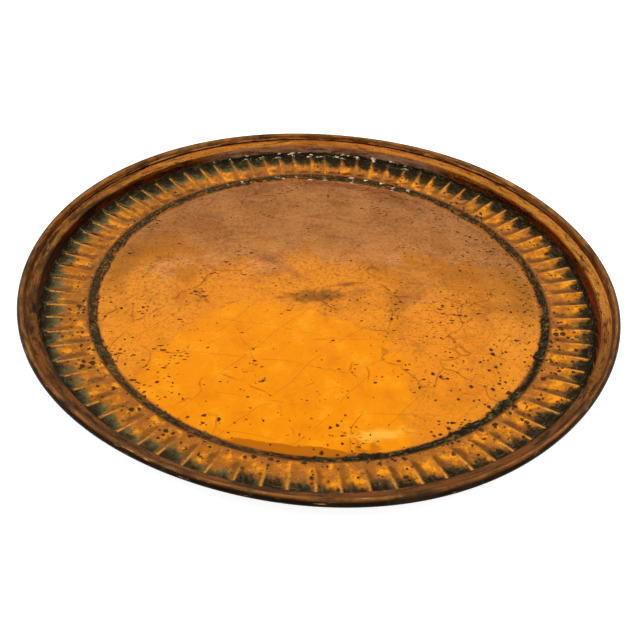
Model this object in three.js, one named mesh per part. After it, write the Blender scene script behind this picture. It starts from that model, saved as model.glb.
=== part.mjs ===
// A large round serving tray of hammered copper. The pan is one sheet, raised with a flat floor, a small step,
// a border of hollow flutes, an upright wall and a sloping lip. The sheet's edge is rolled over an iron wire.
// Millimetres, +Z up. The origin is the middle of the floor's underside, which the tray rests on.
import * as THREE from "three";

// Driving sizes
const sheetThickness = 1.2; // copper sheet
const floorRadius = 231; // the flat floor, out to the corner of its step
const stepRun = 8.5; // the step that rises round the floor
const stepRise = 3.7;
const stepBend = 4; // bends are measured on the middle of the sheet
const ledgeWidth = 4.5; // the plain ledge between the step and the flutes
const ledgeRise = 0.4;
const fluteCount = 80;
const fluteRun = 36; // from the ledge to the foot of the wall
const fluteRise = 7.4;
const fluteDepth = 2.4; // at the foot of the wall, below the ridges
const fluteDeepening = 0.6; // a power under 1: the flutes deepen quickly past the ledge, then steadily
const wallLean = 3.4;
const wallHeight = 12.3;
const footBend = 2.2;
const lipBend = 2.6;
const lipLength = 14.8; // along the slope, until the roll starts
const lipSlope = THREE.MathUtils.degToRad(20);
const wireDiameter = 4.4; // iron wire in the rolled edge
const wireClearance = 0.4; // between the wire and the copper
const seamGap = 0.5; // between the sheet's raw edge and the lip
const wireButtGap = 1.5; // between the two ends of the wire

// How finely the round shapes are cut
const columnsPerFlute = 4; // on the fluted rings; a plain ring has one column for each flute
const fluteRings = [0.22, 0.6, 0.9, 1]; // as shares of the way from the ledge to the wall
const bendSteps = 2;
const rollSteps = 9;
const wireSides = 8;

const copper = new THREE.MeshStandardMaterial({ color: 0xc8762e, roughness: 0.38, metalness: 1 });
const iron = new THREE.MeshStandardMaterial({ color: 0x4a4440, roughness: 0.7, metalness: 1 });

// The section's corners, on the middle of the sheet
const floorEdge = new THREE.Vector2(floorRadius, sheetThickness / 2);
const stepTop = new THREE.Vector2(floorEdge.x + stepRun, floorEdge.y + stepRise);
const ledgeEnd = new THREE.Vector2(stepTop.x + ledgeWidth, stepTop.y + ledgeRise);
const wallFoot = new THREE.Vector2(ledgeEnd.x + fluteRun, ledgeEnd.y + fluteRise);
const wallTop = new THREE.Vector2(wallFoot.x + wallLean, wallFoot.y + wallHeight);
const lipEnd = new THREE.Vector2(
  wallTop.x + lipLength * Math.cos(lipSlope),
  wallTop.y + lipLength * Math.sin(lipSlope),
);

// The roll is a circle that leaves the lip in line with it and comes back to it over the top of the wire.
const rollRadius = wireDiameter / 2 + wireClearance + sheetThickness / 2;
const rollCentre = new THREE.Vector2(
  lipEnd.x - rollRadius * Math.sin(lipSlope),
  lipEnd.y + rollRadius * Math.cos(lipSlope),
);
const rollStart = lipSlope - Math.PI / 2;
const rollEnd = rollStart + 2 * Math.PI - Math.acos(1 - (sheetThickness + seamGap) / rollRadius);

// One place along the sheet: where its middle is, which way its upper face looks, and how deep a flute is there.
function station(point, normal, depth = 0) {
  return { point, normal, depth };
}

function leftOf(direction) {
  return new THREE.Vector2(-direction.y, direction.x).normalize();
}

// The sheet is bent round a corner between two straight stretches, along an arc of the given radius.
function bendAt(corner, before, after, radius) {
  const into = corner.clone().sub(before).normalize();
  const away = after.clone().sub(corner).normalize();
  const turn = Math.atan2(into.cross(away), into.dot(away));
  const arcStart = corner.clone().addScaledVector(into, -radius * Math.tan(Math.abs(turn) / 2));
  const side = Math.sign(turn);
  const centre = arcStart.clone().addScaledVector(leftOf(into), side * radius);
  const stations = [];
  for (let i = 0; i <= bendSteps; i++) {
    const normal = leftOf(into).rotateAround(new THREE.Vector2(), (turn * i) / bendSteps);
    stations.push(station(centre.clone().addScaledVector(normal, -side * radius), normal));
  }
  return stations;
}

// The flutes start at nothing on the ledge and are deepest where the wall's foot bend begins.
function fluteStations(end) {
  const direction = end.point.clone().sub(ledgeEnd);
  const normal = leftOf(direction);
  const stations = [station(ledgeEnd, normal)];
  for (const share of fluteRings) {
    const point = ledgeEnd.clone().addScaledVector(direction, share);
    const depth = fluteDepth * Math.pow(share, fluteDeepening);
    stations.push(station(point, share < 1 ? normal : end.normal, depth));
  }
  return stations;
}

function rollStations() {
  const stations = [];
  for (let i = 0; i <= rollSteps; i++) {
    const angle = THREE.MathUtils.lerp(rollStart, rollEnd, i / rollSteps);
    const outward = new THREE.Vector2(Math.cos(angle), Math.sin(angle));
    stations.push(station(rollCentre.clone().addScaledVector(outward, rollRadius), outward.negate()));
  }
  return stations;
}

function sheetStations() {
  const foot = bendAt(wallFoot, ledgeEnd, wallTop, footBend);
  return [
    ...bendAt(floorEdge, new THREE.Vector2(0, floorEdge.y), stepTop, stepBend),
    ...bendAt(stepTop, floorEdge, ledgeEnd, stepBend),
    ...fluteStations(foot[0]),
    ...foot.slice(1),
    ...bendAt(wallTop, wallFoot, lipEnd, lipBend),
    ...rollStations(),
  ];
}

// A ring of one face of the sheet. A flute is a hollow between two ridges, so its section is half a wave.
function ring(place, side) {
  const columns = place.depth > 0 ? fluteCount * columnsPerFlute : fluteCount;
  const edge = place.point.clone().addScaledVector(place.normal, (side * sheetThickness) / 2);
  const points = [];
  for (let i = 0; i < columns; i++) {
    const angle = (2 * Math.PI * i) / columns;
    const drop = place.depth * Math.abs(Math.sin((angle * fluteCount) / 2));
    points.push(new THREE.Vector3(edge.x * Math.cos(angle), edge.x * Math.sin(angle), edge.y - drop));
  }
  return points;
}

// Rings one after another and a point at each end make a closed skin. Two rings may differ in their number
// of columns: going round, the ring that is behind is the one that takes the next step.
function skinGeometry(firstPole, rings, lastPole) {
  const positions = [];
  const triangle = (a, b, c) => positions.push(...a.toArray(), ...b.toArray(), ...c.toArray());
  const closed = (points) => [...points, points[0]];
  const halfStepPast = (i, points) => (i + 0.5) / points.length;
  for (let k = 1; k < rings.length; k++) {
    const before = rings[k - 1];
    const after = rings[k];
    const inner = closed(before);
    const outer = closed(after);
    let i = 0;
    let j = 0;
    while (i < before.length || j < after.length) {
      if (halfStepPast(i, before) < halfStepPast(j, after)) {
        triangle(inner[i], outer[j], inner[i + 1]);
        i += 1;
      } else {
        triangle(inner[i], outer[j], outer[j + 1]);
        j += 1;
      }
    }
  }
  const first = closed(rings[0]);
  const last = closed(rings[rings.length - 1]);
  rings[0].forEach((point, i) => triangle(firstPole, point, first[i + 1]));
  rings[rings.length - 1].forEach((point, i) => triangle(lastPole, last[i + 1], point));
  const geometry = new THREE.BufferGeometry();
  geometry.setAttribute("position", new THREE.Float32BufferAttribute(positions, 3));
  geometry.computeVertexNormals();
  return geometry;
}

// From the middle of the floor along the upper face to the raw edge, and back along the lower face
function copperPan() {
  const stations = sheetStations();
  const upper = stations.map((place) => ring(place, 1));
  const lower = stations.map((place) => ring(place, -1)).reverse();
  const floorTop = new THREE.Vector3(0, 0, sheetThickness);
  const floorUnderside = new THREE.Vector3(0, 0, 0);
  const pan = new THREE.Mesh(skinGeometry(floorTop, [...upper, ...lower], floorUnderside), copper);
  pan.name = "copper_pan";
  return pan;
}

class WirePath extends THREE.Curve {
  getPoint(t, target = new THREE.Vector3()) {
    const buttAngle = wireButtGap / rollCentre.x;
    const angle = THREE.MathUtils.lerp(buttAngle / 2, 2 * Math.PI - buttAngle / 2, t);
    return target.set(rollCentre.x * Math.cos(angle), rollCentre.x * Math.sin(angle), 0);
  }
}

// One length of iron wire, bent to a ring, with its ends butted inside the rolled edge
function rimWire() {
  const section = new THREE.Shape();
  section.absarc(0, 0, wireDiameter / 2, 0, 2 * Math.PI);
  const geometry = new THREE.ExtrudeGeometry(section, {
    steps: fluteCount, // as many as the roll round it has
    curveSegments: wireSides / 2, // a full circle gets two sides for each
    extrudePath: new WirePath(),
  });
  const wire = new THREE.Mesh(geometry, iron);
  wire.name = "rim_wire";
  wire.position.z = rollCentre.y;
  return wire;
}

const tray = new THREE.Group();
tray.add(copperPan(), rimWire());

export default tray;
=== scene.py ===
# A large hammered copper tray: one sheet with a flat floor, a step, a border of hollow flutes, a wall and
# a lip whose edge is rolled over an iron wire. Metres, +Z up, the floor's underside at height 0.
import math
import random
from functools import partial

import bpy
import numpy as np
from mathutils import Matrix, Vector


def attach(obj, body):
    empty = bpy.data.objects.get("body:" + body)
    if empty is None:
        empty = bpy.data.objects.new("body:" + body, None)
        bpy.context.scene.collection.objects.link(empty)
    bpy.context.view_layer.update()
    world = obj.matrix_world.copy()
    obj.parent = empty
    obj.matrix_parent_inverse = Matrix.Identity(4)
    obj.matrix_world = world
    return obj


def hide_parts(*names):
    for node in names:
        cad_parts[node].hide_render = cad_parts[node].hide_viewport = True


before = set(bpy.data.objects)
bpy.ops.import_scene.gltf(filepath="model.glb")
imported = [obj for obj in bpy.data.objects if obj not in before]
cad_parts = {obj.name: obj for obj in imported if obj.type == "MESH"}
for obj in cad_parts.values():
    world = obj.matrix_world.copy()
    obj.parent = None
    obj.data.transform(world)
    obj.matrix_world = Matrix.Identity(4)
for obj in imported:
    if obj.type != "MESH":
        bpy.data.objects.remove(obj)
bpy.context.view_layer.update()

# The photograph's camera, turned with the tray so that the ridges fall where they do in the photograph
camera = {
    "aim": (0.0012, -0.0561, 0.0012),
    "elevation": 39.88,
    "roll": 3.63,
    "turn": -1.1,
    "distance": 0.719,
    "lens": 40.17,
}

pan = {
    "sheet": 0.0012,  # thickness of the copper
    "floorRadius": 0.231,  # out to the corner of the step
    "step": (0.0085, 0.0037),  # outward and up
    "ledge": (0.0045, 0.0004),
    "border": (0.036, 0.0074),  # the fluted border, from the ledge to the foot of the wall
    "wall": (0.0034, 0.0123),
    "lipLength": 0.0148,
    "lipSlope": math.radians(20),
    "stepBend": 0.004,  # bend radii, on the middle of the sheet
    "footBend": 0.0022,
    "lipBend": 0.0026,
    "bendRings": 3,
    "rollRings": 12,
    "pressed": math.radians(58),  # past the top of the roll, where its edge runs straight down to the lip
    "seamGap": 0.00015,  # between the sheet's raw edge and the lip
    "floorSpan": 100,  # mesh columns across the floor
    "floorInset": 0.005,
}
flutes = {
    "count": 80,
    "depth": 0.0024,  # at the foot of the wall, below the ridges
    "deepening": 0.55,  # a power under 1: quickly past the ledge, then steadily
    "columns": 10,  # mesh columns for each flute
    "rings": (0.06, 0.14, 0.24, 0.38, 0.54, 0.7, 0.84, 0.94),  # shares of the way out to the wall
    "ridgeDrift": 0.35,  # degrees that a ridge stands off its even place, by hand work
    "depthSpread": 0.22,  # how much the depth differs from flute to flute, as a share of it
    "tipSpread": 0.1,  # how unevenly the ridges' inner tips start, as a share of the border
    "seed": 7,
}
wire = {"diameter": 0.0044, "clearance": 0.0001, "buttGap": 0.0015, "sides": 12, "steps": 240}
# The rim is not quite round: times round it, millimetres in and out, and where a wave is outermost
rimWaves = {
    "waves": ((3, 1.5, 84), (4, 0.9, 135), (5, 0.75, -26), (6, 0.43, -67)),
    "from": 0.286,
    "to": 0.301,
}
dents = {  # size of a wave and its height, by the part of the sheet that has it
    "floorWaves": {"size": 0.1, "height": 0.0012},
    "floorMarks": {"size": 0.022, "height": 0.00012},  # the planishing hammer's marks
    "rimMarks": {"size": 0.017, "height": 0.0003},
}


def corners():  # of the section: radius and height on the middle of the sheet
    points = [Vector((pan["floorRadius"], pan["sheet"] / 2))]
    for part in ("step", "ledge", "border", "wall"):
        points.append(points[-1] + Vector(pan[part]))
    slope = pan["lipSlope"]
    points.append(points[-1] + pan["lipLength"] * Vector((math.cos(slope), math.sin(slope))))
    return points


def leftOf(direction):
    return Vector((-direction.y, direction.x)).normalized()


def bendRings(before, corner, after, radius):  # rings along an arc in place of a sharp corner
    into = (corner - before).normalized()
    away = (after - corner).normalized()
    turn = math.atan2(into.x * away.y - into.y * away.x, into.dot(away))
    side = math.copysign(1, turn)
    centre = corner - into * radius * math.tan(abs(turn) / 2) + leftOf(into) * side * radius
    turns = [Matrix.Rotation(turn * i / pan["bendRings"], 2) for i in range(pan["bendRings"] + 1)]
    return [centre - turned @ leftOf(into) * side * radius for turned in turns]


def rollCircle():  # the roll leaves the lip in line with it and passes round the wire
    radius = wire["diameter"] / 2 + wire["clearance"] + pan["sheet"] / 2
    slope = pan["lipSlope"]
    return corners()[-1] + radius * Vector((-math.sin(slope), math.cos(slope))), radius


def sheetRings():  # from the floor's edge to the sheet's raw edge
    floorEdge, stepTop, ledgeEnd, wallFoot, wallTop, lipEnd = corners()
    foot = bendRings(ledgeEnd, wallFoot, wallTop, pan["footBend"])
    lip = bendRings(wallFoot, wallTop, lipEnd, pan["lipBend"])
    rings = bendRings(Vector((0, floorEdge.y)), floorEdge, stepTop, pan["stepBend"])
    rings += bendRings(floorEdge, stepTop, ledgeEnd, pan["stepBend"])
    rings += [ledgeEnd] + [ledgeEnd.lerp(foot[0], share) for share in flutes["rings"]] + foot
    rings += [foot[-1].lerp(lip[0], 0.5)] + lip + [lip[-1].lerp(lipEnd, share) for share in (0.33, 0.66)]
    centre, radius = rollCircle()
    first = pan["lipSlope"] - math.pi / 2
    last = first + math.pi + pan["pressed"]
    for i in range(pan["rollRings"] + 1):
        angle = first + (last - first) * i / pan["rollRings"]
        rings.append(centre + radius * Vector((math.cos(angle), math.sin(angle))))
    height = radius * (1 + math.cos(pan["pressed"])) - pan["sheet"] - pan["seamGap"]
    onward = leftOf(rings[-1] - centre) * height / math.sin(pan["pressed"])
    rings += [rings[-1] + onward * share for share in (0.3, 0.6, 0.85, 1)]
    return rings


def addPrimitive(add, name, **settings):
    bpy.ops.object.select_all(action="DESELECT")
    add(**settings)
    bpy.ops.object.transform_apply(location=True, rotation=True, scale=True)
    piece = bpy.context.active_object
    piece.name = name
    piece.data.name = name
    return piece


def turnSheet(rings):  # the middle of the copper sheet: the floor, and the rest drawn out of it ring by ring
    start = rings[0]
    radius = start.x - pan["floorInset"]
    piece = addPrimitive(
        bpy.ops.mesh.primitive_circle_add,
        "hammeredPan",
        vertices=flutes["count"] * flutes["columns"] // 2,
        radius=radius,
        location=(0, 0, start.y),
    )
    bpy.ops.object.mode_set(mode="EDIT")
    bpy.ops.mesh.select_mode(type="EDGE")
    bpy.ops.mesh.select_all(action="SELECT")
    bpy.ops.mesh.fill_grid(span=pan["floorSpan"])
    selectOutline()
    drawOut(Vector((radius, start.y)), start)
    bpy.ops.mesh.subdivide(number_cuts=1)
    selectOutline()
    for ring, previous in zip(rings[1:], rings):
        drawOut(previous, ring)
    bpy.ops.mesh.select_all(action="SELECT")
    bpy.ops.mesh.normals_make_consistent(inside=False)
    bpy.ops.object.mode_set(mode="OBJECT")
    if piece.data.polygons[0].normal.z < 0:  # on an open sheet either way can come out
        piece.data.flip_normals()
    return piece


def selectOutline():
    bpy.ops.mesh.select_all(action="DESELECT")
    bpy.ops.mesh.select_non_manifold(
        use_wire=False, use_multi_face=False, use_non_contiguous=False, use_verts=False
    )


def drawOut(previous, ring):  # the chosen loop is drawn from one ring of the section to the next
    bpy.ops.mesh.extrude_edges_move(TRANSFORM_OT_translate={"value": (0, 0, ring.y - previous.y)})
    scale = ring.x / previous.x
    bpy.ops.transform.resize(value=(scale, scale, 1), center_override=(0, 0, 0))


def readPoints(piece):
    points = np.empty(len(piece.data.vertices) * 3)
    piece.data.vertices.foreach_get("co", points)
    return points.reshape(-1, 3)


def writePoints(piece, points):
    piece.data.vertices.foreach_set("co", points.ravel())
    piece.data.update()


def smooth(value, low, high):
    share = np.clip((value - low) / (high - low), 0, 1)
    return share * share * (3 - 2 * share)


def layOutPlan(piece, around, along):  # a UV map: flutes counted round the tray, metres along the sheet
    plan = piece.data.uv_layers.new(name="sheetPlan")
    corner = np.empty(len(piece.data.loops), int)
    piece.data.loops.foreach_get("vertex_index", corner)
    first = np.empty(len(piece.data.polygons), int)
    piece.data.polygons.foreach_get("loop_start", first)
    u = around[corner]
    highest = np.maximum.reduceat(u, first)
    sides = np.diff(np.append(first, len(corner)))
    behind = np.repeat(highest, sides) - u > flutes["count"] / 2  # a face that closes the circle
    u[behind] += flutes["count"]
    plan.data.foreach_set("uv", np.stack([u, along[corner]], 1).ravel())


def lengthAlong(points, rings):  # metres along the sheet from the middle of the floor
    lengths = [rings[0].x]
    for ring, previous in zip(rings[1:], rings):
        lengths.append(lengths[-1] + (ring - previous).length)
    section = np.array([tuple(ring) for ring in rings])
    place = np.stack([np.hypot(points[:, 0], points[:, 1]), points[:, 2]], 1)
    nearest = np.array([np.argmin(((section - p) ** 2).sum(1)) for p in place])
    return np.where(place[:, 0] < rings[0].x - 1e-5, place[:, 0], np.array(lengths)[nearest])


def pressFlutes(piece, rings):  # each flute is hammered down between two ridges that stand a little unevenly
    points = readPoints(piece)
    along = lengthAlong(points, rings)
    ledgeEnd, wallFoot = corners()[2:4]
    radius = np.hypot(points[:, 0], points[:, 1])
    angle = np.arctan2(points[:, 1], points[:, 0])
    pitch = 2 * math.pi / flutes["count"]
    chance = random.Random(flutes["seed"])
    spread = lambda amount: np.array([chance.uniform(-amount, amount) for _ in range(flutes["count"])])
    drift = np.radians(spread(flutes["ridgeDrift"]))
    depths = 1 + spread(flutes["depthSpread"])
    tips = spread(flutes["tipSpread"])
    place = np.round(angle / pitch, 6) % flutes["count"]
    number = place.astype(int)
    phase = place - number
    following = (number + 1) % flutes["count"]
    ease = smooth(phase, 0, 1)
    borderStart = along[np.argmin(np.abs(radius - ledgeEnd.x) + np.abs(points[:, 2] - ledgeEnd.y))]
    borderEnd = along[np.argmin(np.abs(radius - wallFoot.x) + np.abs(points[:, 2] - wallFoot.y))]
    share = (along - borderStart) / (borderEnd - borderStart)
    band = smooth(share, 0, 0.3) * (1 - smooth(share, 1, 1.35))
    turned = angle + ((1 - ease) * drift[number] + ease * drift[following]) * band
    tip = (1 - ease) * tips[number] + ease * tips[following]
    grown = np.clip((share - tip) / (1 - tip), 0, 1) ** flutes["deepening"]
    fade = 1 - smooth(share, 1, 1.12)
    hollow = np.abs(np.sin(math.pi * phase))
    drop = flutes["depth"] * depths[number] * grown * fade * hollow
    moved = np.stack([radius * np.cos(turned), radius * np.sin(turned), points[:, 2] - drop], 1)
    outside = share > 0
    writePoints(piece, np.where(outside[:, None], moved, points))
    layOutPlan(piece, place, along)


def warpRim(piece):  # the waves grow from the foot of the wall to the lip, and the wire follows them
    points = readPoints(piece)
    radius = np.hypot(points[:, 0], points[:, 1])
    angle = np.arctan2(points[:, 1], points[:, 0])
    start = rimWaves["from"]
    shift = 0
    for count, size, top in rimWaves["waves"]:
        shift = shift + size * 0.001 * np.cos(count * angle - math.radians(top))
    scale = 1 + shift * smooth(radius, start, rimWaves["to"]) / np.maximum(radius, start)
    writePoints(piece, points * np.stack([scale, scale, np.ones_like(scale)], 1))


def hammer(piece, name, weights, direction, middle):  # waves from a cloud texture, where the weights let them
    marks = dents[name]
    cloud = bpy.data.textures.new(name, "CLOUDS")
    cloud.noise_scale = marks["size"]
    cloud.noise_depth = 0
    group = piece.vertex_groups.new(name=name)
    for level in np.unique(np.round(weights, 2)):
        chosen = np.nonzero(np.round(weights, 2) == level)[0]
        if level > 0:
            group.add(chosen.tolist(), float(level), "REPLACE")
    modifier = piece.modifiers.new(name, "DISPLACE")
    modifier.texture = cloud
    modifier.texture_coords = "LOCAL"
    modifier.direction = direction
    modifier.strength = marks["height"]
    modifier.mid_level = middle
    modifier.vertex_group = name
    bpy.ops.object.modifier_apply(modifier=name)


def thicken(piece):
    modifier = piece.modifiers.new("sheet", "SOLIDIFY")
    modifier.thickness = pan["sheet"]
    modifier.offset = 0
    modifier.use_even_offset = False
    modifier.material_offset = 1
    bpy.ops.object.modifier_apply(modifier="sheet")
    bpy.ops.object.shade_smooth_by_angle(angle=math.radians(28))


def makePan():
    rings = sheetRings()
    piece = turnSheet(rings)
    pressFlutes(piece, rings)
    points = readPoints(piece)
    radius = np.hypot(points[:, 0], points[:, 1])
    floor = 1 - smooth(radius, 0.2, 0.229)
    rim = smooth(radius, 0.278, 0.284) * (1 - smooth(radius, 0.29, 0.294))
    hammer(piece, "floorWaves", floor, "Z", 0)
    hammer(piece, "floorMarks", floor, "Z", 0)
    hammer(piece, "rimMarks", rim, "NORMAL", 0.5)
    warpRim(piece)
    return piece


def makeWire():  # one length bent to a ring, its ends butted
    centre, _ = rollCircle()
    gap = wire["buttGap"] / centre.x
    piece = addPrimitive(
        bpy.ops.mesh.primitive_circle_add,
        "edgeWire",
        vertices=wire["sides"],
        radius=wire["diameter"] / 2,
        fill_type="NGON",
        location=(centre.x, 0, centre.y),
        rotation=(math.radians(90), 0, 0),
    )
    bpy.ops.object.mode_set(mode="EDIT")
    bpy.ops.mesh.select_all(action="SELECT")
    bpy.ops.transform.rotate(value=-gap / 2, orient_axis="Z", center_override=(0, 0, 0))
    bpy.ops.mesh.spin(steps=wire["steps"], angle=2 * math.pi - gap, center=(0, 0, 0), axis=(0, 0, 1))
    bpy.ops.mesh.select_all(action="SELECT")
    bpy.ops.mesh.normals_make_consistent(inside=False)
    bpy.ops.object.mode_set(mode="OBJECT")
    bpy.ops.object.shade_smooth_by_angle(angle=math.radians(40))
    warpRim(piece)
    return piece


def linear(code):  # sRGB hex to linear red, green, blue and alpha
    parts = [int(code[i : i + 2], 16) / 255 for i in (1, 3, 5)]
    return tuple(c / 12.92 if c <= 0.04045 else ((c + 0.055) / 1.055) ** 2.4 for c in parts) + (1,)


def addNode(tree, kind, settings=None, links=None):  # a link comes from a socket, or from a node's first one
    node = tree.nodes.new("ShaderNode" + kind)
    for name, value in (settings or {}).items():
        if isinstance(name, str) and hasattr(node, name):
            setattr(node, name, value)
        else:
            node.inputs[name].default_value = value
    for name, source in (links or {}).items():
        tree.links.new(getattr(source, "outputs", [source])[0], node.inputs[name])
    return node


def newMaterial(name):
    material = bpy.data.materials.new(name)
    material.use_nodes = True
    tree = material.node_tree
    tree.nodes.clear()
    return material, partial(addNode, tree)


def between(low, high, start=0, end=1):  # settings of a Map Range that eases between two values
    span = {"From Min": low, "From Max": high, "To Min": start, "To Max": end}
    return {"interpolation_type": "SMOOTHSTEP", **span}


plus, minus, times, higher = [{"operation": name} for name in ("ADD", "SUBTRACT", "MULTIPLY", "MAXIMUM")]


def gain(*by):  # settings of a multiply-add: by how much, and what is added unless it is linked
    return {"operation": "MULTIPLY_ADD", **dict(enumerate(by, 1))}


def sheetPlaces(add, squeeze):  # what the patterns on the sheet are laid on
    place = add("TexCoord").outputs["Object"]
    plan = add("SeparateXYZ", None, {0: add("UVMap", {"uv_map": "sheetPlan"})})
    flat = add("VectorMath", {**times, 1: (1, 1, 0)}, {0: place})
    outward = add("VectorMath", {"operation": "NORMALIZE"}, {0: flat})
    height = add("CombineXYZ", None, {2: plan.outputs["Y"]})
    # Squeezed round the tray, so that a pattern on it comes out drawn along the rim
    strung = add("VectorMath", gain((squeeze, squeeze, 0)), {0: outward, 2: height})
    return {
        "place": place,
        "flute": plan.outputs["X"],
        "along": plan.outputs["Y"],
        "outward": outward,
        "height": height,
        "strung": strung,
    }


def zoneColour(add, along, zones):  # the ramp's own two ends are the first zone and the last
    share = add("Math", {"operation": "DIVIDE", 1: zones[-1][0]}, {0: along})
    ramp = add("ValToRGB", None, {"Fac": share})
    elements = ramp.color_ramp.elements
    for element, (_, code) in zip(elements, (zones[0], zones[-1])):
        element.color = linear(code)
    for position, code in zones[1:-1]:
        elements.new(position / zones[-1][0]).color = linear(code)
    return ramp.outputs["Color"]


def layOver(add, colour, layers):  # each layer's colour covers what is below it
    for mask, code in layers:
        colour = add("Mix", {"data_type": "RGBA", 7: linear(code)}, {0: mask, 6: colour}).outputs[2]
    return colour


hammerMark = 0.016  # about as wide as the hammer's face
oldMetal = {"Specular IOR Level": 0.1}  # the little of it that isn't metal hardly shines


def hammerRelief(add, place, strength, depth):
    settings = {"Scale": 1 / hammerMark, "Detail": 2, "Roughness": 0.4}
    marks = add("TexNoise", settings, {"Vector": place})
    return add("Bump", {"Strength": strength, "Distance": depth}, {"Height": marks})


def closeMetal(add, settings, colour, metal, rough, relief):
    surface = {"Base Color": colour, "Metallic": metal, "Roughness": rough, "Normal": relief}
    shader = add("BsdfPrincipled", settings, surface)
    add("OutputMaterial", None, {"Surface": shader})


# Areas of the sheet, by metres along it from the middle of the floor: between which two places an area comes
# or goes, and how much it counts before and after them, if that isn't 0 and 1
sheetAreas = {
    "floor": (0.2275, 0.2305, 1, 0),
    "edgePits": (0.16, 0.226, -0.05, 0.09),
    "edgeTicks": (0.183, 0.212, 0, 0.64),
    "crust": (0.2382, 0.2402, 1, 0),
    "border": (0.2405, 0.2425),
    "ridgeStart": (0.25, 0.273, 0.12, 1),
    "ridgeWedge": (0.256, 0.276, 0.55, 1.5),  # a ridge narrows outwards
    "beforeFoot": (0.275, 0.2775, 1, 0),
    "foot": (0.277, 0.279),
    "beforeWall": (0.278, 0.2805, 1, 0),
    "noPits": (0.279, 0.283, 0, -1),
    "footEnd": (0.2815, 0.2835, 1, 0),
    "rim": (0.282, 0.286),
    "beforeLip": (0.2925, 0.2935, 1, 0),
}
# The same for sides of the tray: a direction, and how far towards it
traySides = {
    "right": ((1, 0, 0), -0.9, 0.4),
    "back": ((0, 1, 0), 0.8, 0.93),
    "front": ((0, 1, 0), -0.7, -0.8),
    "lessSmearedSide": ((0.6, 0.8, 0), -0.4, 0.5),  # fewer dark smears and spots towards this side
    # where the painted shade on the left wall falls
    "paintedShadeLeft": ((-0.96, 0.28, 0), 0.45, 0.9, 0, 0.55),
    "bareCrust": ((-0.4, -0.92, 0), 0.7, 0.97, 0, -0.001),
    "thickCrust": ((0.64, -0.77, 0), 0.5, 0.95, -0.02, 0.12),
    "tickSide": ((0.8, 0.6, 0), 0.55, 0.9),
    "rightPits": ((1, 0, 0), 0.2, 0.9, 0, 0.1),
    "frontPits": ((0, 1, 0), 0.3, -0.5, -0.01, 0.11),
    "backDeposit": ((0, 1, 0), 0.3, 0.9, 0, 0.0075),
    "frontDeposit": ((0, 1, 0), -0.5, -0.9, 0, 0.003),
    "rightDeposit": ((1, 0, 0), 0.6, 1, 0, -0.003),
}
copperNoise = {  # size in metres, detail, roughness and what it is laid on
    "ragged": (0.007, 6, 0.7, "place"),
    "broad": (0.05, 3, 0.6, "place"),
    "slow": (0.06, 6, 0.65, "place"),
    "grain": (0.003, 5, 0.7, "place"),
    "patch": (0.07, 5, 0.55, "place"),
    "blotches": (0.011, 5, 0.6, "place"),
    "smudges": (0.007, 4, 0.6, "place"),
    "amber": (0.03, 5, 0.6, "place"),
    "specks": (0.0014, 2, 0.6, "place"),
    "smoke": (0.026, 6, 0.7, "place"),
    "streaks": (0.0022, 5, 0.7, "strung"),
    "smears": (0.0085, 4, 0.6, "strung"),
    "spots": (0.0045, 6, 0.75, "strung"),
    "blots": (0.0105, 6, 0.72, "strung"),
    "glints": (0.004, 4, 0.65, "level"),
    "rays": (0.0045, 5, 0.65, "rayed"),
    "drawn": (0.014, 5, 0.65, "level"),
    "gleam": (0.02, 4, 0.6, "level"),
    "strokes": (0.005, 6, 0.75, "level"),
}
thinningPatch = {"torn": ("strokes", 3), "edge": (1.2, 0.2)}  # a patch that thins out from its middle
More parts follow.
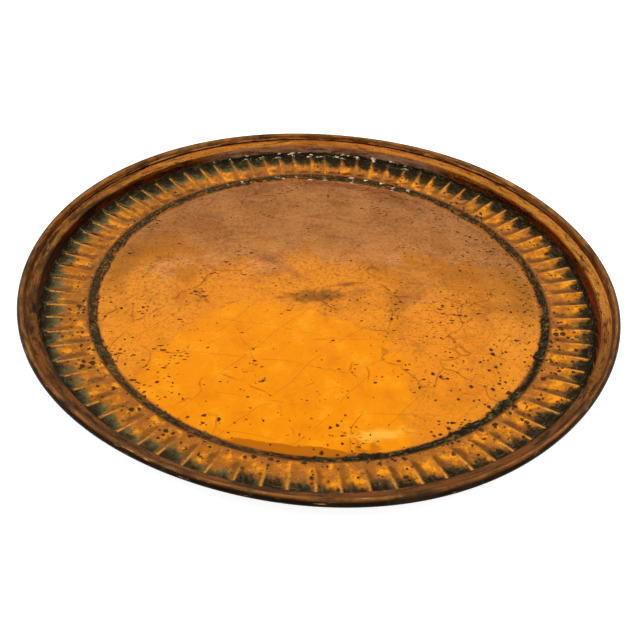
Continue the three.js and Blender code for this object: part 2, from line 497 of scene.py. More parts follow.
copperLook = {
    "zones": (  # the upper face's colour, by metres along the sheet from the middle of the floor: warm on the floor and flutes, darker on the step, near black at the foot of the wall and dark red-brown up it
        (0.0, "#EE8F1E"), (0.2, "#EA8A22"), (0.2285, "#DA8224"), (0.2310, "#A05E1C"),
        (0.2385, "#3E220C"), (0.2402, "#744216"), (0.2425, "#A8661A"), (0.2455, "#C07220"),
        (0.252, "#D47E10"), (0.268, "#CC7A12"), (0.278, "#8E5814"), (0.283, "#1A1006"),
        (0.286, "#4A1C06"), (0.291, "#7E3C0C"), (0.2942, "#BC7826"), (0.2975, "#C07A28"),
        (0.3065, "#B06C26"), (0.3255, "#9A5E22"),
    ),
    # How far a pattern is squeezed that comes out drawn along the rim, along the flutes or from side to side
    "drawnOut": {"round": 0.045, "raysRound": 0.27, "raysAlong": 0.35, "level": 0.3, "turn": 0.15},
    # The layers on it. An edge is where a layer starts, on its noise or its place, and where it is full. Two
    # steps are two such edges with what each counts. A layer is torn by a noise, and leans to a side.
    "sides": {"edge": (0.11, 0.22), "strength": 0.8, "colour": "#EC942C"},  # to the left and right
    "hazeAndShade": {  # dull film on the floor's back half, and painted shade: the back half duller, away from the lamp's reflection
        "torn": ("patch", 0.3),
        "steps": ((0.0, 0.1, 0, 0.55), (0.048, 0.054, 0, 0.38)),
        "colour": "#F8A256",
    },
    "brown": {"edge": (0.48, 0.68), "strength": 0.65, "inHaze": 0.05, "colour": "#B2681E"},
    "rubbedAndLit": {  # a patch in front, rubbed clean and partly painted light where the lamp's reflection falls, with darker and lighter spots in it
        "place": (-0.035, -0.165, 0),
        "reach": (0.13, 0.128, 1),  # half its size
        "torn": ("patch", 0.7),
        "steps": ((0.965, 1.005, 0.78, 0), (0.7, 1.35, 0.22, 0)),
        "colour": "#F59008",
    },
    "amber": {"edge": (0.5, 0.68), "strength": 0.75, "colour": "#E07C0A"},
    "gold": {"edge": (0.47, 0.36), "strength": 0.7, "colour": "#FFA81A"},
    "smoke": {"edge": (0.54, 0.7), "strength": 0.6, "colour": "#8E5A34"},
    "drawn": {"edge": (0.5, 0.68), "strength": 0.5, "colour": "#9A5C30"},  # dark streaks in the film
    "gleam": {"edge": (0.46, 0.34), "strength": 0.5, "colour": "#F4A45A"},  # and pale ones
    "darkSpecks": {"edge": (0.52, 0.68), "strength": 0.4, "colour": "#8A3E10"},
    "lightSpecks": {"edge": (0.43, 0.32), "strength": 0.35, "colour": "#FFC060"},
    "mottle": {"edge": (0.46, 0.7), "strength": 0.7, "colour": "#8E4E24"},
    "blotches": {"edge": (0.46, 0.62), "strength": 0.75, "colour": "#9C5E28"},  # on the fluted border
    "bright": {"edge": (0.47, 0.38), "strength": 0.85, "colour": "#F89A1C"},
    "warm": {"edge": (0.1, -0.16), "strength": 0.42, "colour": "#EC8A0A"},  # painted light: the floor's front half warmer and brighter, where it mirrors the lamp
    "left": {"smoke": 0.25, "mottle": 0.3, "specks": 0.15, "floorSpecks": 0.6},  # of each where the patch in front is rubbed clean and painted light
    "kinks": {"size": 0.003, "by": 0.0032},  # in the outlines of pits and ticks
    "bends": {"size": 0.045, "by": 0.028, "kinks": 0.22},  # in the creases
    "creases": {"size": 0.055, "width": 0.0009, "breaks": (0.47, 0.6, 0, 0.45), "colour": "#7E4014"},
    "scratches": {
        "turns": (40, 95),
        "apart": 0.05,
        "width": 0.0007,
        "breaks": (0.56, 0.48, 0, 0.4),
        "colour": "#8E5020",
    },
    "ticks": {
        "size": 0.0032,
        "drift": 0.05,
        "drifts": (0.48, 0.6, -0.75, -0.1),
        "share": 0.55,
        "edge": (-0.05, 0.12),
        "strength": 0.9,
        "colour": "#4C2A10",
    },
    "wisp": {  # a smoky stain in the middle of the floor, and its tail
        "place": (-0.006, -0.018, 0),
        "reach": (0.042, 0.012, 1),
        "turn": 8,
        **thinningPatch,
        "strength": 0.7,
        "colour": "#5A3A18",
    },
    "tail": {
        "place": (0.028, 0.005, 0),
        "reach": (0.018, 0.005, 1),
        "turn": 14,
        **thinningPatch,
        "strength": 0.6,
        "colour": "#5A3A18",
    },
    "sheen": {  # painted reflection: a pale highlight in front
        "place": (0.054, -0.2045, 0),
        "reach": (0.03, 0.0075, 1),
        "turn": 10,
        **thinningPatch,
        "strength": 0.6,
        "colour": "#FFC24A",
    },
    "pool": {  # dark varnish at the floor's edge in front: to the right, and along the sheet
        "place": (-0.016, 0.2305, 0),
        "reach": (0.062, 0.0095, 1),
        "torn": ("amber", 1.2),
        "edge": (1.04, 0.88),
        "strength": 0.9,
        "colour": "#B0600C",
    },
    "shade": {"edge": (0.5, 0.05), "strength": 0.75, "colour": "#96561E"},  # painted shade on one side of every flute
    "pits": {
        "sizes": (0.0068, 0.004),
        "share": (1.1, -0.86),
        "torn": ("broad", 0.5),
        "edge": (-0.06, 0.1),
        "strength": 0.95,
        "colour": "#44290F",
    },
    "ridge": {  # worn bright between two flutes, with a painted highlight along it that is fainter at the back
        "edge": (0.32, 0.05),
        "strength": 1,
        "worn": (0.4, 0.56, 0.15, 1),
        "atBack": 0.2,
        "colour": "#E69C3C",
    },
    "smudges": {"leans": ("right", -0.1), "edge": (0.58, 0.66), "strength": 0.75, "colour": "#685A38"},
    # On the wall and the lip, drawn along the rim
    "smears": {"leans": ("lessSmearedSide", -0.2), "edge": (0.33, 0.64), "strength": 0.9, "colour": "#3A2210"},
    "flush": {"edge": (0.5, 0.4), "strength": 0.6, "colour": "#9A4A18"},
    "blots": {"edge": (0.58, 0.64), "strength": 0.9, "colour": "#1E1C10"},
    "spots": {"leans": ("lessSmearedSide", -0.02), "edge": (0.51, 0.6), "strength": 0.85, "colour": "#3A2A16"},
    "paintedShadeLeft": {"colour": "#120804"},  # painted shade over the wall on the left
    "backWallReflection": {"edge": (0.42, 0.58), "least": 0.1, "strength": 0.75, "colour": "#B48C6A"},  # painted reflection: paler and dull on the back wall
    # Dirt on the step and in the flutes, by metres along the sheet, and its colours
    "crust": {"ragged": 0.011, "broad": 0.02, "inner": (0.2294, 0.2314), "gaps": (0.38, 0.5, 0.1, 1)},
    "deposit": {
        "own": 0.005,  # how far it differs from flute to flute
        "broad": 0.02,
        "middle": 0.2665,
        "spread": 0.0085,
        "rays": 1.1,
        "ragged": 1.3,
        "oneSide": (0.6, 1, 0, -0.009),
        "edge": (0.22, 0.8, 0, 0.97),
        "hollow": (0.1, 0.34, 0.1, 1),  # less on the ridges
        "atBack": 0.75,
    },
    "foot": {"middle": 0.2822, "ragged": 0.0044, "edge": (0.002, 0.0034, 1, 0)},
    # the fleck colour serves both the pale flecks and the painted glints at the back
    "dirt": {"dark": "#191404", "pale": "#78764C", "tan": "#8A682C", "fleck": "#FFECC8"},
    "greener": {"leans": ("right", -0.13), "onStep": 0.12},
    "tints": {  # where the dirt is greener, ashen, tan or pale, and where the painted glints are
        "greener": (0.36, 0.54, 0, 0.9),
        "fringe": (0.5, 1.25, 1, 0.05),
        "ashen": (0.54, 0.66, 0, 0.5),
        "tan": (0.54, 0.64, 0, 0.8),
        "glints": (0.49, 0.45, 0, 0.95),
        "flecks": (0.68, 0.73, 0, 0.85),
    },
    "inHollows": 0.14,  # more glints there
    "fewerTan": {"back": 0.2, "border": 0.35},
    "metal": {"inDirt": 0.05, "roughDirt": 0.7, "rough": (0.3, 0.13)},  # stained and bare
}


class CopperSheet:  # the noise and the areas on the sheet, and the layers laid on it so far
    def __init__(self, add):
        drawnOut = copperLook["drawnOut"]
        self.add, self.layers, self.noise, self.where = add, [], {}, {}
        self.on = on = sheetPlaces(add, drawnOut["round"])
        short = add("VectorMath", {**times, 1: (0, 0, drawnOut["raysAlong"])}, {0: on["height"]})
        rays = gain((drawnOut["raysRound"], drawnOut["raysRound"], 0))
        on["rayed"] = add("VectorMath", rays, {0: on["outward"], 2: short})
        level = {"Rotation": (0, 0, drawnOut["turn"]), "Scale": (drawnOut["level"], 1, 1)}
        on["level"] = add("Mapping", level, {"Vector": on["place"]})
        for name, (size, detail, roughness, laidOn) in copperNoise.items():
            settings = {"Scale": 1 / size, "Detail": detail, "Roughness": roughness}
            self.noise[name] = add("TexNoise", settings, {"Vector": on[laidOn]})
        for name, span in sheetAreas.items():
            self.where[name] = self.ease(on["along"], *span)
        for name, (direction, *span) in traySides.items():
            facing = add("VectorMath", {"operation": "DOT_PRODUCT", 1: direction}, {0: on["outward"]})
            self.where[name] = self.ease(facing.outputs["Value"], *span)
        self.where["flutes"] = self.limit(self.where["border"], "beforeWall")
        self.where["wall"] = self.limit(self.where["beforeLip"], "rim")
        self.phase = add("Math", {"operation": "FRACT"}, {0: on["flute"]})  # across one flute
        number = add("Math", {"operation": "FLOOR"}, {0: on["flute"]})
        self.noise["own"] = add("TexWhiteNoise", {"noise_dimensions": "1D"}, {"W": number}).outputs["Value"]
        hollow = add("Math", {**times, 1: math.pi}, {0: self.phase})
        self.hollow = add("Math", {"operation": "SINE"}, {0: hollow})

    def ease(self, value, *span):
        return self.add("MapRange", between(*span), {"Value": value})

    def join(self, how, value, *others):  # with one after another of the others, which may be areas' names
        for other in others:
            other = self.where[other] if isinstance(other, str) else other
            value = self.add("Math", how, {0: value, 1: other})
        return value

    def limit(self, mask, *areas):  # a mask inside other masks
        return self.join(times, mask, *areas)

    def tear(self, value, name, amount):  # a noise pushes a value up and down, so an edge on it is ragged
        push = self.add("Math", gain(amount, -amount / 2), {0: self.noise[name]})
        return self.join(plus, value, push)

    def lean(self, name, source):  # more or less of a layer on one side of the tray
        area, amount = copperLook[name]["leans"]
        return self.add("Math", gain(amount), {0: self.where[area], 2: source})

    def distance(self, name, laidOn):  # from a patch's middle, 1 at its edge
        patch = copperLook[name]
        lying = {"vector_type": "TEXTURE", "Location": patch["place"], "Scale": patch["reach"]}
        lying["Rotation"] = (0, 0, math.radians(patch.get("turn", 0)))
        mapped = self.add("Mapping", lying, {"Vector": laidOn})
        length = self.add("VectorMath", {"operation": "LENGTH"}, {0: mapped})
        return self.tear(length.outputs["Value"], *patch["torn"])

    def cover(self, name, mask, *areas):  # a layer of colour, on what is below it
        mask = self.limit(mask, *areas)
        self.layers.append((mask, copperLook[name]["colour"]))
        return mask

    def lay(self, name, source, *areas):  # a layer that starts and is full where its look says
        layer = copperLook[name]
        mask = self.ease(source, *layer["edge"], layer.get("least", 0), layer["strength"])
        return self.cover(name, mask, *areas)

    def layTwice(self, name, source):  # one of two steps, on the floor
        steps = [self.ease(source, *span) for span in copperLook[name]["steps"]]
        return self.cover(name, self.join(plus, *steps), "floor")

    def spare(self, source, left, bare=1):  # less of it where the source is full
        return self.add("MapRange", {"To Min": bare, "To Max": left}, {"Value": source})


def layFloor(sheet, depth, across):  # film and painted shade at the back, slow brown stains, and the patch in front, rubbed clean and partly painted light
    look, add, noise = copperLook, sheet.add, sheet.noise
    sheet.lay("sides", across, "floor")
    # film and painted shade on the back half
    filmAndShade = sheet.layTwice("hazeAndShade", depth)
    stains = add("Math", gain(look["brown"]["inHaze"]), {0: filmAndShade, 2: noise["slow"]})
    stains = sheet.lay("brown", stains)
    # the patch in front, rubbed clean and partly painted light
    rubbedAndLitPatch = sheet.layTwice("rubbedAndLit", sheet.distance("rubbedAndLit", sheet.on["place"]))
    sheet.lay("amber", noise["amber"], rubbedAndLitPatch)
    sheet.lay("gold", noise["amber"], rubbedAndLitPatch)
    spared = sheet.spare(rubbedAndLitPatch, look["left"]["smoke"])
    sheet.lay("smoke", noise["smoke"], "floor", spared)
    sheet.lay("drawn", noise["drawn"], filmAndShade, spared)
    sheet.lay("gleam", noise["gleam"], filmAndShade, spared)
    spared = sheet.spare(sheet.where["floor"], look["left"]["floorSpecks"])
    spared = sheet.join(minus, spared, rubbedAndLitPatch)
    spared = add("Math", {**higher, 1: look["left"]["specks"]}, {0: spared})
    sheet.lay("darkSpecks", noise["specks"], spared)
    sheet.lay("lightSpecks", noise["specks"], spared)
    fine = sheet.lay("mottle", noise["grain"], sheet.spare(rubbedAndLitPatch, look["left"]["mottle"]))
    return stains, fine


def jitter(sheet, name):  # small shifts to and fro
    look = copperLook[name]
    shift = sheet.add("TexNoise", {"Scale": 1 / look["size"], "Detail": 2}, {"Vector": sheet.on["place"]})
    amount = {"operation": "SCALE", "Scale": look["by"]}
    return sheet.add("VectorMath", amount, {0: shift.outputs["Color"]})


def layCreases(sheet, kinks):  # fine folds: the edges of large crooked cells, broken by noise
    look, add = copperLook["creases"], sheet.add
    folded = gain(3 * (copperLook["bends"]["kinks"],))
    folded = add("VectorMath", folded, {0: kinks, 2: sheet.on["place"]})
    folded = add("VectorMath", plus, {0: folded, 1: jitter(sheet, "bends")})
    cells = {"feature": "DISTANCE_TO_EDGE", "Scale": 1 / look["size"]}
    fold = add("TexVoronoi", cells, {"Vector": folded})
    share = look["width"] / look["size"]
    fold = sheet.ease(fold, 0.2 * share, 1.2 * share, 1, 0)
    broken = sheet.ease(sheet.noise["broad"], *look["breaks"])
    return sheet.cover("creases", fold, broken, "floor")


def layScratches(sheet):  # single lines out of wide bands
    look, add = copperLook["scratches"], sheet.add
    share = 2 * look["width"] / look["apart"]
    broken = sheet.ease(sheet.noise["broad"], *look["breaks"])
    scale = 0.314 / look["apart"]  # at a scale of 1 its bands are 0.314 apart
    wave = {"wave_profile": "TRI", "Scale": scale, "Distortion": 3, "Detail": 2}
    for turn in look["turns"]:
        turned = add("Mapping", {"Rotation": (0, 0, math.radians(turn))}, {"Vector": sheet.on["place"]})
        band = add("TexWave", wave, {"Vector": turned}).outputs["Fac"]
        sheet.cover("scratches", sheet.ease(band, 1 - share, 1), broken, "floor")


def layTicks(sheet, crooked):  # short dark dashes in drifts, most of them at the back on the right
    look, add = copperLook["ticks"], sheet.add
    drawn = add("Mapping", {"Rotation": (0, 0, 0.35), "Scale": (0.4, 1, 1)}, {"Vector": crooked})
    cells = add("TexVoronoi", {"Scale": 1 / look["size"]}, {"Vector": drawn})
    chance = add("SeparateXYZ", None, {0: cells.outputs["Color"]})
    drift = {"Scale": 1 / look["drift"], "Detail": 4, "Roughness": 0.7, "Distortion": 0.8}
    drift = add("TexNoise", drift, {"Vector": sheet.on["place"]})
    drift = sheet.ease(drift, *look["drifts"])
    drift = sheet.join(plus, drift, sheet.limit(sheet.where["edgeTicks"], "tickSide"))
    drift = add("Math", {"operation": "MINIMUM", 1: look["drifts"][-1]}, {0: drift})
    tick = add("Math", gain(look["share"]), {0: chance, 2: drift})
    return sheet.lay("ticks", sheet.join(minus, tick, cells.outputs["Distance"]), "floor")


def makePits(sheet, crooked):  # dark crooked specks of two sizes, most of them near the floor's edge
    look, add, where = copperLook["pits"], sheet.add, sheet.where
    crowding = sheet.tear(where["edgePits"], *look["torn"])
    inFlutes = sheet.limit(where["frontPits"], "border")
    crowding = sheet.join(plus, crowding, "rightPits", inFlutes, "noPits")
    pitted = []
    for size in look["sizes"]:
        cells = add("TexVoronoi", {"Scale": 1 / size}, {"Vector": crooked})
        chance = add("SeparateXYZ", None, {0: cells.outputs["Color"]})
        reach = sheet.join(plus, add("Math", gain(*look["share"]), {0: chance}), crowding)
        reach = sheet.join(minus, reach, cells.outputs["Distance"])
        pitted.append(sheet.ease(reach, *look["edge"], 0, look["strength"]))
    return sheet.join(higher, *pitted)


def layFlutes(sheet, pitted):  # painted shade on one side of each, and a ridge between two, worn bright and painted with a highlight
    look, noise = copperLook, sheet.noise
    sheet.lay("shade", sheet.phase, "flutes")
    sheet.cover("pits", pitted)
    worn = sheet.ease(noise["ragged"], *look["ridge"]["worn"])
    softer = sheet.spare(sheet.where["back"], look["ridge"]["atBack"])
    wedge = sheet.limit(sheet.hollow, "ridgeWedge")
    # the ridge, worn bright and painted with a highlight, fainter at the back
    sheet.lay("ridge", wedge, "flutes", worn, "ridgeStart", softer)
    sheet.lay("smudges", sheet.lean("smudges", noise["smudges"]), "flutes")


def layRim(sheet):  # smears along the wall and the lip, fewer towards the back right, with red and black between; painted shade over the left wall and a painted reflection on the back wall
    noise = sheet.noise
    smears = sheet.lay("smears", sheet.lean("smears", noise["smears"]), "rim")
    sheet.lay("flush", noise["smears"], "rim")
    sheet.lay("blots", noise["blots"], "rim")
    sheet.lay("spots", sheet.lean("spots", noise["spots"]), "rim")
    # painted shade: the wall darkened on the left
    sheet.cover("paintedShadeLeft", sheet.where["paintedShadeLeft"], "wall")
    # painted reflection: a paler, dull patch on the back wall
    return smears, sheet.lay("backWallReflection", noise["spots"], "back", "wall")


def makeDirt(sheet):  # crust up the step, deposit in the flutes' outer ends, black at the wall's foot
    add, where, along = sheet.add, sheet.where, sheet.on["along"]
    crust, deposit, foot = [copperLook[name] for name in ("crust", "deposit", "foot")]
    inner = sheet.tear(sheet.tear(along, "ragged", crust["ragged"]), "broad", crust["broad"])
    inner = sheet.ease(sheet.join(plus, inner, "bareCrust"), *crust["inner"])
    gaps = sheet.ease(sheet.join(plus, where["thickCrust"], sheet.noise["streaks"]), *crust["gaps"])
    crusted = sheet.limit(inner, "crust", gaps)

    oneSide = sheet.ease(sheet.phase, *deposit["oneSide"])
    fill = sheet.tear(sheet.tear(along, "own", deposit["own"]), "broad", deposit["broad"])
    fill = sheet.join(plus, fill, oneSide, "backDeposit", "frontDeposit", "rightDeposit")
    spread = {"clamp": False, "From Min": deposit["middle"] - deposit["spread"]}
    spread["From Max"] = deposit["middle"] + deposit["spread"]
    fill = add("MapRange", spread, {"Value": fill})
    fill = sheet.tear(sheet.tear(fill, "rays", deposit["rays"]), "ragged", deposit["ragged"])
    filled = sheet.ease(fill, *deposit["edge"])
    below = sheet.ease(sheet.hollow, *deposit["hollow"])
    covered = add("Math", {**times, 1: deposit["atBack"]}, {0: where["back"]})
    filled = sheet.limit(filled, sheet.join(higher, below, "foot", covered), "footEnd")

    dark = sheet.tear(along, "ragged", foot["ragged"])
    dark = add("Math", {**minus, 1: foot["middle"]}, {0: dark})
    dark = add("Math", {"operation": "ABSOLUTE"}, {0: dark})
    return sheet.join(higher, crusted, filled, sheet.ease(dark, *foot["edge"])), fill


def tintDirt(sheet, fill):  # dark, greener to the left, with tan and pale flecks, and painted glints at the back
    look, add, noise, where = copperLook, sheet.add, sheet.noise, sheet.where
    sources = {
        "greener": sheet.lean("greener", noise["rays"]),
        "fringe": fill,
        "ashen": noise["streaks"],
        "tan": noise["ragged"],
        "glints": add("Math", gain(look["inHollows"]), {0: sheet.hollow, 2: noise["glints"]}),
        "flecks": noise["grain"],
    }
    tint = {name: sheet.ease(source, *look["tints"][name]) for name, source in sources.items()}
    onStep = add("MapRange", {"To Min": look["greener"]["onStep"], "To Max": 1}, {"Value": where["border"]})
    greener = sheet.limit(tint["greener"], onStep, tint["fringe"])
    greener = sheet.join(higher, greener, tint["ashen"])
    fewer = [sheet.spare(where[area], left) for area, left in look["fewerTan"].items()]
    tan = sheet.limit(tint["tan"], *fewer)
    fluted = sheet.limit(where["border"], "beforeFoot")
    elsewhere = add("Math", {**minus, 0: 1}, {1: fluted})
    # painted glints: pale highlights on the dirt at the back, on the crust and at the wall's foot
    glints = sheet.limit(tint["glints"], "back", elsewhere)
    flecks = sheet.join(higher, tint["flecks"], glints)
    shades = look["dirt"]
    mixed = {"data_type": "RGBA", 6: linear(shades["dark"]), 7: linear(shades["pale"])}
    mixed = add("Mix", mixed, {0: greener}).outputs[2]
    return layOver(add, mixed, ((tan, shades["tan"]), (flecks, shades["fleck"])))


def makeCopper():  # copper sheet, hammered and worn: warm metal under brown stains and green-black dirt, with painted light, shade, highlights and reflections on it
    material, add = newMaterial("hammeredCopper")
    sheet = CopperSheet(add)
    place, along = sheet.on["place"], sheet.on["along"]
    axes = add("SeparateXYZ", None, {0: place}).outputs
    depth = sheet.tear(axes["Y"], *copperLook["hazeAndShade"]["torn"])
    across = add("Math", {"operation": "ABSOLUTE"}, {0: axes["X"]})
    across = sheet.tear(across, *copperLook["hazeAndShade"]["torn"])
    stains, fine = layFloor(sheet, depth, across)
    sheet.lay("blotches", sheet.noise["blotches"], "flutes")
    sheet.lay("bright", sheet.noise["blotches"], "flutes")
    # painted light over the floor's front half
    sheet.lay("warm", depth, "floor")
    kinks = jitter(sheet, "kinks")
    crooked = add("VectorMath", plus, {0: place, 1: kinks})
    fold = layCreases(sheet, kinks)
    layScratches(sheet)
    tick = layTicks(sheet, crooked)
    # a smoky stain, its tail, and a painted reflection in front
    for name in ("wisp", "tail", "sheen"):
        sheet.lay(name, sheet.distance(name, place))
    onEdge = add("CombineXYZ", None, {0: axes["X"], 1: along})
    sheet.lay("pool", sheet.distance("pool", onEdge), "front")
    pitted = makePits(sheet, crooked)
    layFlutes(sheet, pitted)
    smears, backWallReflection = layRim(sheet)
    dirt, fill = makeDirt(sheet)
    colour = layOver(add, zoneColour(add, along, copperLook["zones"]), sheet.layers)
    dirty = {0: dirt, 6: colour, 7: tintDirt(sheet, fill)}
    colour = add("Mix", {"data_type": "RGBA"}, dirty).outputs[2]

    # Dirt, pits and the painted reflection on the back wall are dull and hardly metallic, and stains a little
    # duller than the rest
    dull = sheet.join(higher, dirt, pitted, backWallReflection)
    worn = sheet.join(higher, fine, stains, smears)
    look = copperLook["metal"]
    metal = sheet.spare(dull, look["inDirt"])
    polish = sheet.spare(worn, *look["rough"])
    rough = add("Mix", {"data_type": "FLOAT", 3: look["roughDirt"]}, {0: dull, 2: polish})

    # Relief: the hammer's marks, crumbs of dirt, pits and lines
    crumbs = sheet.join(minus, sheet.limit(dirt, sheet.noise["grain"]), pitted, tick, fold)
    relief = {"Height": crumbs, "Normal": hammerRelief(add, place, strength=0.3, depth=0.0005)}
    relief = add("Bump", {"Strength": 0.5, "Distance": 0.0004}, relief)
    closeMetal(add, oldMetal, colour, metal, rough, relief)
    return material


agedLook = {  # the lower face, which also covers the rolled edge
    # The rolled edge's near-black outer and lower side, from 0.3085 to 0.3143, is painted shade, and the pale
    # band towards its raw edge, peaking at 0.3252, a painted highlight
    "zones": (
        (0.0, "#8A5A34"), (0.22, "#7E5230"), (0.24, "#5E3C24"), (0.28, "#6A4428"),
        (0.306, "#3A2414"), (0.3085, "#120C06"), (0.3143, "#160F08"), (0.3150, "#54341A"),
        (0.3160, "#845224"), (0.3172, "#A86C32"), (0.3195, "#A0662C"), (0.3240, "#B87A3C"),
        (0.3252, "#E0B070"), (0.3262, "#6A4220"),
    ),
    # Noise sizes, where each layer starts and is full, and its colour
    "soot": {"size": 0.004, "edge": (0.42, 0.66, 0, 0.6), "colour": "#4E3420"},  # on the flat underside
    "stains": {"size": 0.05, "edge": (0.45, 0.7, 0, 0.85), "colour": "#3E2A1A"},
    "streaks": {"size": 0.0022, "edge": (0.44, 0.62, 0, 0.65), "colour": "#2A1A0E"},  # along the rolled edge
    # painted glints along the rolled edge, thickest towards its raw edge at the back
    "glints": {"edge": (0.4, 0.31, 0, 0.9), "colour": "#D8A468"},
    "green": {"size": 0.02, "edge": (0.58, 0.72, 0, 0.7), "colour": "#56583A"},
    "bead": (0.304, 0.308),  # where the rolled edge starts, by metres along the sheet
    "seam": (0.3205, 0.3235),  # where the glints towards its raw edge start, which are thickest
    "behind": (0.4, 0.8, 0, 0.16),  # at the tray's back
}


def makeAgedCopper():  # copper that was never polished: brown and black, with green at the edges; the black on the rolled edge's outer side is painted shade, and a pale band and glints towards its raw edge are painted highlights
    look = agedLook
    material, add = newMaterial("agedCopperUnderside")
    on = sheetPlaces(add, 0.03)
    place, along = on["place"], on["along"]
    noise = {}
    for name, laidOn in (("soot", place), ("stains", place), ("streaks", on["strung"]), ("green", place)):
        settings = {"Scale": 1 / look[name]["size"], "Detail": 6, "Roughness": 0.68}
        noise[name] = add("TexNoise", settings, {"Vector": laidOn})
    onBead = add("MapRange", between(*look["bead"]), {"Value": along})
    offBead = add("Math", {**minus, 0: 1}, {1: onBead})
    back = add("SeparateXYZ", None, {0: on["outward"]}).outputs["Y"]
    behind = add("MapRange", between(*look["behind"]), {"Value": back})
    seamward = add("MapRange", between(*look["seam"]), {"Value": along})
    seamward = add("Math", times, {0: seamward, 1: behind})
    noise["glints"] = add("Math", minus, {0: noise["streaks"], 1: seamward})
    areas = {"soot": offBead, "streaks": onBead, "glints": onBead}
    masks = {}
    for name in ("soot", "stains", "streaks", "glints", "green"):
        masks[name] = add("MapRange", between(*look[name]["edge"]), {"Value": noise[name]})
        if name in areas:
            masks[name] = add("Math", times, {0: masks[name], 1: areas[name]})
    layers = [(mask, look[name]["colour"]) for name, mask in masks.items()]
    colour = layOver(add, zoneColour(add, along, look["zones"]), layers)
    dull = add("Math", higher, {0: masks["green"], 1: masks["stains"]})
    metal = add("MapRange", {"To Min": 1, "To Max": 0.4}, {"Value": dull})
    rough = add("MapRange", {"To Min": 0.3, "To Max": 0.65}, {"Value": dull})
    relief = {"Height": noise["soot"], "Normal": hammerRelief(add, place, strength=0.4, depth=0.0006)}
    relief = add("Bump", {"Strength": 0.4, "Distance": 0.0003}, relief)
    closeMetal(add, oldMetal, colour, metal, rough, relief)
    return material


ironLook = {"steel": "#4A4440", "rust": "#5E3620", "patch": 0.006, "grain": 0.0008}


def makeIron():  # drawn iron wire, grey with brown rust where the copper does not cover it
    look = ironLook
    material, add = newMaterial("drawnIronWire")
    place = add("TexCoord").outputs["Object"]
    patch = add("TexNoise", {"Scale": 1 / look["patch"], "Detail": 5}, {"Vector": place})
    grain = add("TexNoise", {"Scale": 1 / look["grain"], "Detail": 3}, {"Vector": place})
    rust = add("MapRange", between(0.45, 0.6), {"Value": patch})
    colours = {"data_type": "RGBA", 6: linear(look["steel"]), 7: linear(look["rust"])}
    colour = add("Mix", colours, {0: rust}).outputs[2]
    metal = add("MapRange", {"To Min": 1, "To Max": 0.1}, {"Value": rust})
    rough = add("MapRange", {"To Min": 0.45, "To Max": 0.85}, {"Value": rust})
    relief = add("Bump", {"Strength": 0.5, "Distance": 0.0001}, {"Height": grain})
    closeMetal(add, None, colour, metal, rough, relief)
    return material


def makeStage():
    bpy.ops.object.select_all(action="DESELECT")
    bpy.ops.mesh.primitive_plane_add(size=8, location=(0, 0, 0))
    floor = bpy.context.active_object
    floor.name = "floor"
    material, add = newMaterial("paperSweep")
    seen = add("LightPath").outputs["Is Camera Ray"]
    diffuse = add("BsdfDiffuse", {"Color": linear("#F4F4F4")})
    faint = add("Math", {"operation": "MULTIPLY", 1: 0.8}, {0: seen})
    glow = add("Emission", {"Color": linear("#FFFFFF")}, {"Strength": faint})
    both = add("AddShader", None, {0: diffuse, 1: glow})
    add("OutputMaterial", None, {"Surface": both})
    floor.data.materials.append(material)


lights = {
    "sky": 0.6,  # what lights the tray from all round
    # What the metal mirrors, by how high it looks: white paper at the horizon, then a dimmer room and a lamp
    "paper": {"low": 0.03, "high": 0.12},
    "room": {"low": 0.46, "high": 0.6, "strength": (0.5, 0.56)},
    "softbox": {"size": (2.1, 1.96), "place": (0, 0.2, 0.8), "power": 5.5},
}


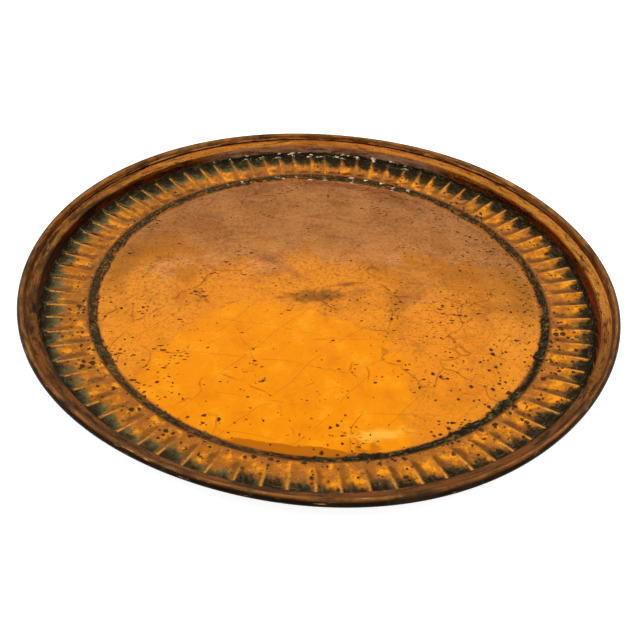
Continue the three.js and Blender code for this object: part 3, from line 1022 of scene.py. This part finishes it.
def makeLights():
    world = bpy.data.worlds.new("studio")
    bpy.context.scene.world = world
    world.use_nodes = True
    world.node_tree.nodes.clear()
    add = partial(addNode, world.node_tree)
    path = add("LightPath").outputs
    paper, room = lights["paper"], lights["room"]
    direction = add("TexCoord").outputs["Generated"]
    direction = add("SeparateXYZ", None, {0: direction}).outputs["Z"]
    dim = between(room["low"], room["high"], *room["strength"])
    dim = add("MapRange", dim, {"Value": direction})
    white = add("MapRange", between(paper["low"], paper["high"], 1, 0), {"Value": direction})
    mirrored = add("Mix", {"data_type": "FLOAT", 3: 1}, {0: white, 2: dim})
    lit = {"data_type": "FLOAT", 2: lights["sky"]}
    lit = add("Mix", lit, {0: path["Is Glossy Ray"], 3: mirrored})
    seen = add("Math", higher, {0: path["Is Camera Ray"], 1: path["Is Transmission Ray"]})
    strength = add("Mix", {"data_type": "FLOAT", 3: 1}, {0: seen, 2: lit})
    background = add("Background", {"Color": (1, 1, 1, 1)}, {"Strength": strength})
    add("OutputWorld", None, {"Surface": background})
    softbox = lights["softbox"]
    data = bpy.data.lights.new("softbox", "AREA")
    data.shape = "ELLIPSE"
    data.size, data.size_y = softbox["size"]
    data.energy = softbox["power"]
    lamp = bpy.data.objects.new("softbox", data)
    bpy.context.scene.collection.objects.link(lamp)
    lamp.location = softbox["place"]


def makeCamera():
    turn = Matrix.Rotation(math.radians(camera["turn"]), 3, "Z")
    elevation, roll = math.radians(camera["elevation"]), math.radians(camera["roll"])
    back = Vector((0, -math.cos(elevation), math.sin(elevation)))
    level, upright = Vector((1, 0, 0)), Vector((0, math.sin(elevation), math.cos(elevation)))
    right = math.cos(roll) * level + math.sin(roll) * upright
    up = -math.sin(roll) * level + math.cos(roll) * upright
    data = bpy.data.cameras.new("camera")
    data.lens = camera["lens"]
    eye = bpy.data.objects.new("camera", data)
    bpy.context.scene.collection.objects.link(eye)
    axes = turn @ Matrix((right, up, back)).transposed()
    place = turn @ (Vector(camera["aim"]) + back * camera["distance"])
    eye.matrix_world = Matrix.Translation(place) @ axes.to_4x4()
    bpy.context.scene.camera = eye


makeCamera()
makeLights()
makeStage()
print("camera, lights and floor")
hammeredPan = makePan()
print("pan shaped:", len(hammeredPan.data.vertices), "points")
hammeredPan.data.materials.append(makeCopper())
hammeredPan.data.materials.append(makeAgedCopper())
thicken(hammeredPan)
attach(hammeredPan, "root")
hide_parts("copper_pan")
print("pan thickened:", sum(len(p.vertices) - 2 for p in hammeredPan.data.polygons), "triangles")
edgeWire = makeWire()
edgeWire.data.materials.append(makeIron())
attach(edgeWire, "root")
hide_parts("rim_wire")
print("wire:", len(edgeWire.data.vertices), "points")
bpy.context.scene.view_settings.view_transform = "Standard"
